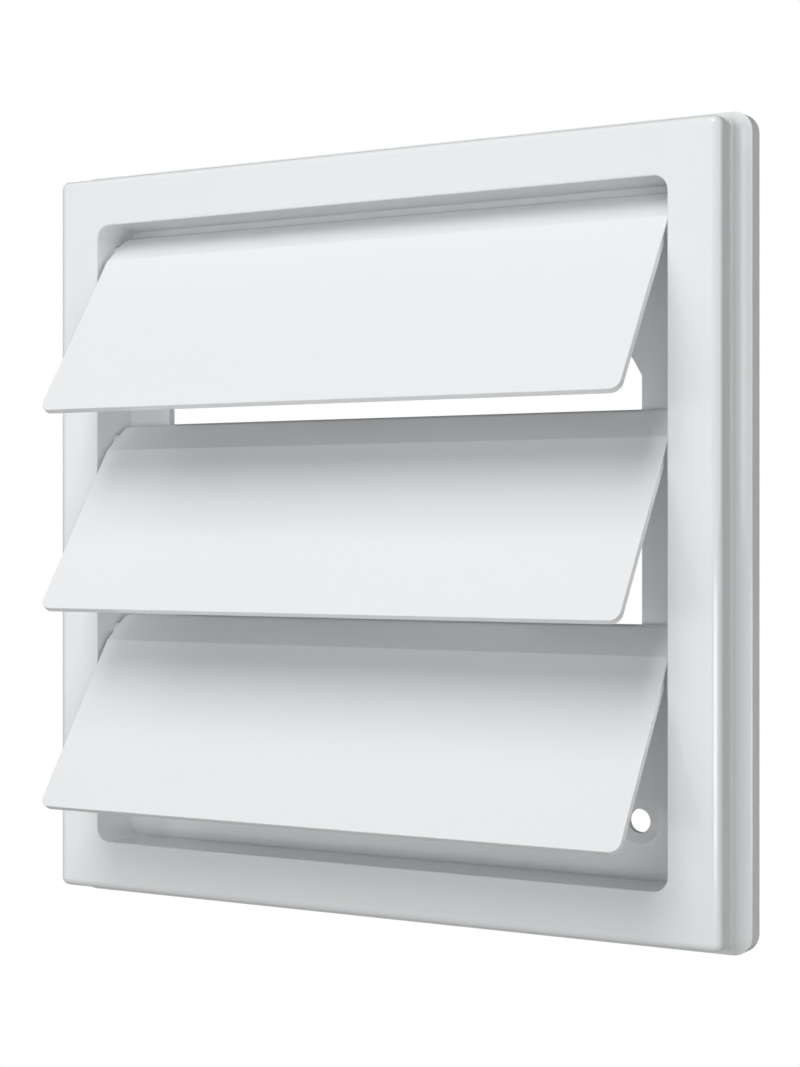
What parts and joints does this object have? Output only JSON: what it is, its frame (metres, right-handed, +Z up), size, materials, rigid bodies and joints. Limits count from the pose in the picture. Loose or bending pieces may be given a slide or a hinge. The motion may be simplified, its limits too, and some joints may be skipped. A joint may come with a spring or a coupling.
{
  "type": "louvred air grille",
  "caption": "Square wall grille with a raised moulded border and overlapping hinged flaps that swing open in an air stream and hang shut over a duct opening.",
  "frame": {"origin": "centre of the back face that sits on the wall", "axes": "+X to the right seen from the room, +Y into the wall, +Z up; the visible front faces -Y"},
  "size_m": [0.187, 0.041, 0.187],
  "materials": {
    "frame_plastic": "satin",
    "flap_plastic": "satin"
  },
  "bodies": {
    "frame": {"frame": "frame_plastic"},
    "flap_1": {"flap_top": "flap_plastic"},
    "flap_2": {"flap_middle": "flap_plastic"},
    "flap_3": {"flap_bottom": "flap_plastic"}
  },
  "joints": [
    {"name": "flap_1_swing", "type": "hinge", "parent": "frame", "child": "flap_1", "pos_m": [0, -0.0086, 0.07215], "axis": [-1, 0, 0], "range_deg": [-31, 26]},
    {"name": "flap_2_swing", "type": "hinge", "parent": "frame", "child": "flap_2", "pos_m": [0, -0.0086, 0.0235], "axis": [-1, 0, 0], "range_deg": [-31, 26]},
    {"name": "flap_3_swing", "type": "hinge", "parent": "frame", "child": "flap_3", "pos_m": [0, -0.0086, -0.02515], "axis": [-1, 0, 0], "range_deg": [-31, 26]}
  ],
  "couplings": [
    {"joint": "flap_2_swing", "follows": "flap_1_swing", "ratio": 1},
    {"joint": "flap_3_swing", "follows": "flap_1_swing", "ratio": 1}
  ]
}
